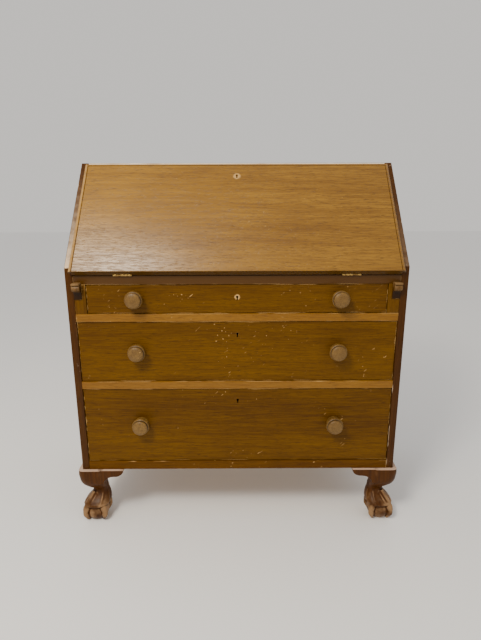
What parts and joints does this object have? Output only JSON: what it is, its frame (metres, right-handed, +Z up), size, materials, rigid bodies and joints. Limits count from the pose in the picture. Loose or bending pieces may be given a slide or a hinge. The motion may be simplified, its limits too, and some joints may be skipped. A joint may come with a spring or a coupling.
{
  "type": "secretary desk",
  "caption": "Slant-front secretary desk with a hinged fall on pull-out lopers, long graduated drawers with turned knobs, and cabriole legs with ball-and-claw feet.",
  "frame": {"origin": "on the floor, at the middle of the overall box's width and depth", "axes": "+Z up, +X to the right of someone facing the desk, +Y from the drawers' side towards the back"},
  "size_m": [0.9408, 0.494, 1.047],
  "materials": {
    "case_oak": "varnished oak, golden brown, satin",
    "rail_oak": "varnished oak, orange brown, satin",
    "fall_oak": "varnished oak, satin, faded by light",
    "drawer_oak": "varnished oak, olive brown, satin",
    "drawer_pine": "bare planed softwood",
    "knob_wood": "turned wood, worn pale",
    "carved_oak": "carved oak, dark reddish brown varnish",
    "brass": "dulled brass",
    "lock_steel": "dark iron"
  },
  "bodies": {
    "case": {"side_left": "case_oak", "side_right": "case_oak", "top_board": "case_oak", "back_panel": "case_oak", "bottom_board": "case_oak", "rail_bottom": "rail_oak", "rail_middle": "rail_oak", "rail_upper": "rail_oak", "dust_board_middle": "drawer_pine", "dust_board_upper": "drawer_pine", "writing_bed": "case_oak", "loper_housing_left": "rail_oak", "loper_housing_right": "rail_oak", "fitment_shelf": "case_oak", "fitment_divider_left": "case_oak", "fitment_divider_right": "case_oak", "bed_hinge_leaf_left": "brass", "bed_hinge_leaf_right": "brass", "leg_front_left": "carved_oak", "leg_front_right": "carved_oak", "leg_back_left": "carved_oak", "leg_back_right": "carved_oak", "ear_front_left": "carved_oak", "ear_front_right": "carved_oak", "ear_front_left_side": "carved_oak", "ear_front_right_side": "carved_oak", "ear_back_left_side": "carved_oak", "ear_back_right_side": "carved_oak"},
    "fall": {"fall_panel": "fall_oak", "fall_lock": "lock_steel", "fall_hinge_leaf_left": "brass", "fall_hinge_leaf_right": "brass"},
    "fall_bolt": {"fall_bolt": "lock_steel"},
    "loper_left": {"loper_bar_left": "case_oak", "loper_front_left": "carved_oak"},
    "loper_right": {"loper_bar_right": "case_oak", "loper_front_right": "carved_oak"},
    "bottom_drawer": {"bottom_drawer_front": "drawer_oak", "bottom_drawer_box": "drawer_pine", "bottom_drawer_bottom": "drawer_pine", "bottom_drawer_knob_left": "knob_wood", "bottom_drawer_knob_right": "knob_wood", "bottom_drawer_lock": "lock_steel"},
    "bottom_drawer_bolt": {"bottom_drawer_bolt": "lock_steel"},
    "middle_drawer": {"middle_drawer_front": "drawer_oak", "middle_drawer_box": "drawer_pine", "middle_drawer_bottom": "drawer_pine", "middle_drawer_knob_left": "knob_wood", "middle_drawer_knob_right": "knob_wood", "middle_drawer_lock": "lock_steel"},
    "middle_drawer_bolt": {"middle_drawer_bolt": "lock_steel"},
    "top_drawer": {"top_drawer_front": "drawer_oak", "top_drawer_box": "drawer_pine", "top_drawer_bottom": "drawer_pine", "top_drawer_knob_left": "knob_wood", "top_drawer_knob_right": "knob_wood", "top_drawer_lock": "lock_steel"},
    "top_drawer_bolt": {"top_drawer_bolt": "lock_steel"},
    "small_drawer": {"small_drawer": "drawer_oak", "small_drawer_knob": "brass"}
  },
  "joints": [
    {"name": "fall_hinge", "type": "hinge", "parent": "case", "child": "fall", "pos_m": [0, -0.2135, 0.751], "axis": [1, 0, 0], "range_deg": [0, 129.18]},
    {"name": "fall_bolt_slide", "type": "slide", "parent": "fall", "child": "fall_bolt", "axis": [0, 0.6318, 0.7751], "range_m": [0, 0.012]},
    {"name": "loper_slide_left", "type": "slide", "parent": "case", "child": "loper_left", "axis": [0, -1, 0], "range_m": [0, 0.26]},
    {"name": "loper_slide_right", "type": "slide", "parent": "case", "child": "loper_right", "axis": [0, -1, 0], "range_m": [0, 0.26]},
    {"name": "bottom_drawer_slide", "type": "slide", "parent": "case", "child": "bottom_drawer", "axis": [0, -1, 0], "range_m": [0, 0.3]},
    {"name": "bottom_drawer_bolt_slide", "type": "slide", "parent": "bottom_drawer", "child": "bottom_drawer_bolt", "axis": [0, 0, 1], "range_m": [0, 0.0042]},
    {"name": "middle_drawer_slide", "type": "slide", "parent": "case", "child": "middle_drawer", "axis": [0, -1, 0], "range_m": [0, 0.3]},
    {"name": "middle_drawer_bolt_slide", "type": "slide", "parent": "middle_drawer", "child": "middle_drawer_bolt", "axis": [0, 0, 1], "range_m": [0, 0.0042]},
    {"name": "top_drawer_slide", "type": "slide", "parent": "case", "child": "top_drawer", "axis": [0, -1, 0], "range_m": [0, 0.3]},
    {"name": "top_drawer_bolt_slide", "type": "slide", "parent": "top_drawer", "child": "top_drawer_bolt", "axis": [0, 0, 1], "range_m": [0, 0.0042]},
    {"name": "small_drawer_slide", "type": "slide", "parent": "case", "child": "small_drawer", "axis": [0, -1, 0], "range_m": [0, 0.13]}
  ]
}
